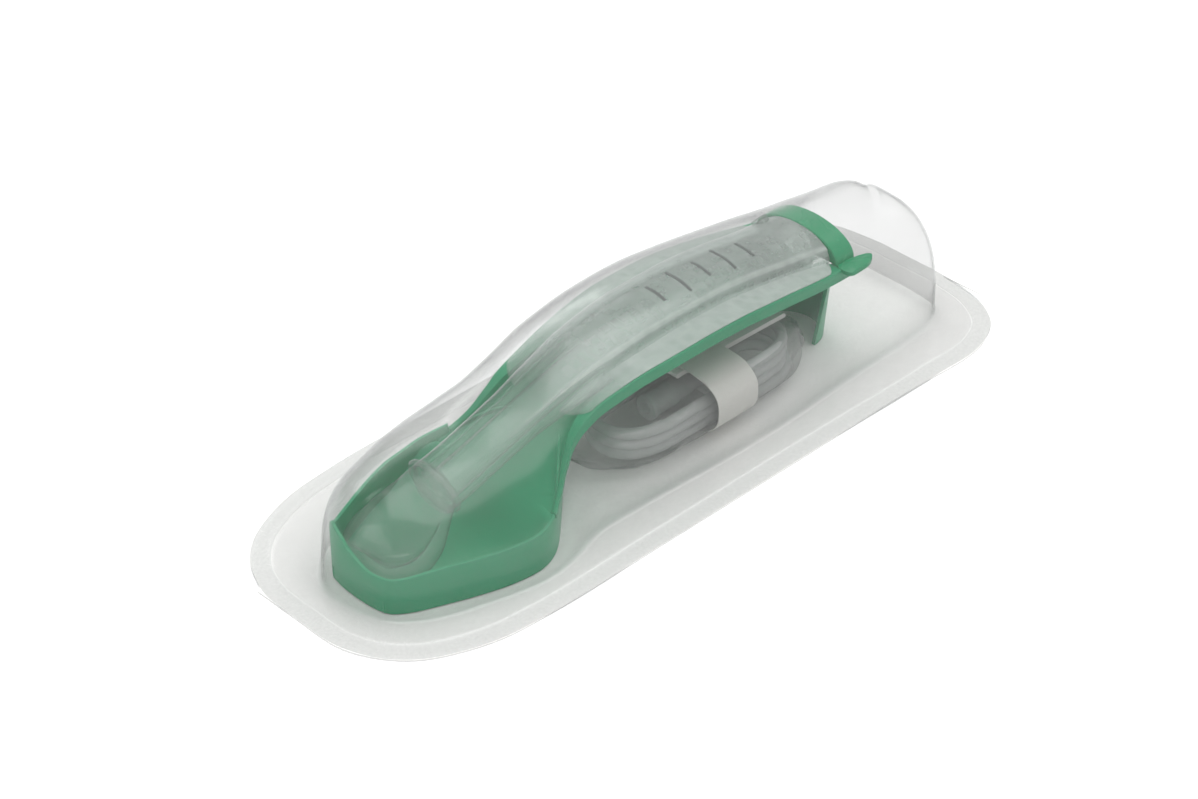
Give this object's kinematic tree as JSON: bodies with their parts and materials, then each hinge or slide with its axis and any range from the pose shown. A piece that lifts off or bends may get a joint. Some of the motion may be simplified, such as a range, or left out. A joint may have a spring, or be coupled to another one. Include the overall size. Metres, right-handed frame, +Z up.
{
  "type": "supraglottic airway pack",
  "caption": "Sealed blister pack with a curved soft supraglottic airway in a green moulded cradle, and a banded bag of coiled suction tube under its arch.",
  "frame": {"origin": "under the middle of the backing lid, on its lower face", "axes": "+X along the pack towards the connector end, +Y to the back, +Z up from the lid"},
  "size_m": [0.2901, 0.1097, 0.058],
  "materials": {
    "paper_lid": "matt medical paper",
    "clear_petg": "clear formed sheet",
    "green_moulding": "satin moulded",
    "clear_soft_gel": "clear soft elastomer",
    "clear_rigid": "clear polycarbonate",
    "green_ring": "moulded",
    "clear_tube": "clear flexible tube",
    "clear_film": "thin clear film",
    "band_paper": "matt paper",
    "strap_fabric": "woven elastic",
    "sachet_foil": "laminated foil"
  },
  "bodies": {
    "backing": {"backing_lid": "paper_lid"},
    "suction_set": {"tube_pouch": "clear_film", "suction_tube_coil": "clear_tube", "suction_funnel": "clear_rigid", "paper_band": "band_paper", "folded_strap": "strap_fabric", "lubricant_sachet": "sachet_foil"},
    "cradle_body": {"cradle": "green_moulding"},
    "airway": {"airway_stem": "clear_soft_gel", "airway_cuff": "clear_soft_gel", "airway_connector": "clear_rigid", "hook_ring": "green_ring", "oxygen_port": "clear_rigid", "oxygen_port_cap": "green_ring"},
    "blister": {"blister_shell": "clear_petg"}
  },
  "joints": [
    {"name": "suction_set_lift", "type": "slide", "parent": "backing", "child": "suction_set", "axis": [0, 0, 1], "range_m": [0, 0.06]},
    {"name": "cradle_lift", "type": "slide", "parent": "suction_set", "child": "cradle_body", "axis": [0, 0, 1], "range_m": [0, 0.07]},
    {"name": "airway_lift", "type": "slide", "parent": "cradle_body", "child": "airway", "axis": [0, 0, 1], "range_m": [0, 0.08]},
    {"name": "blister_lift", "type": "slide", "parent": "airway", "child": "blister", "axis": [0, 0, 1], "range_m": [0, 0.1]}
  ]
}
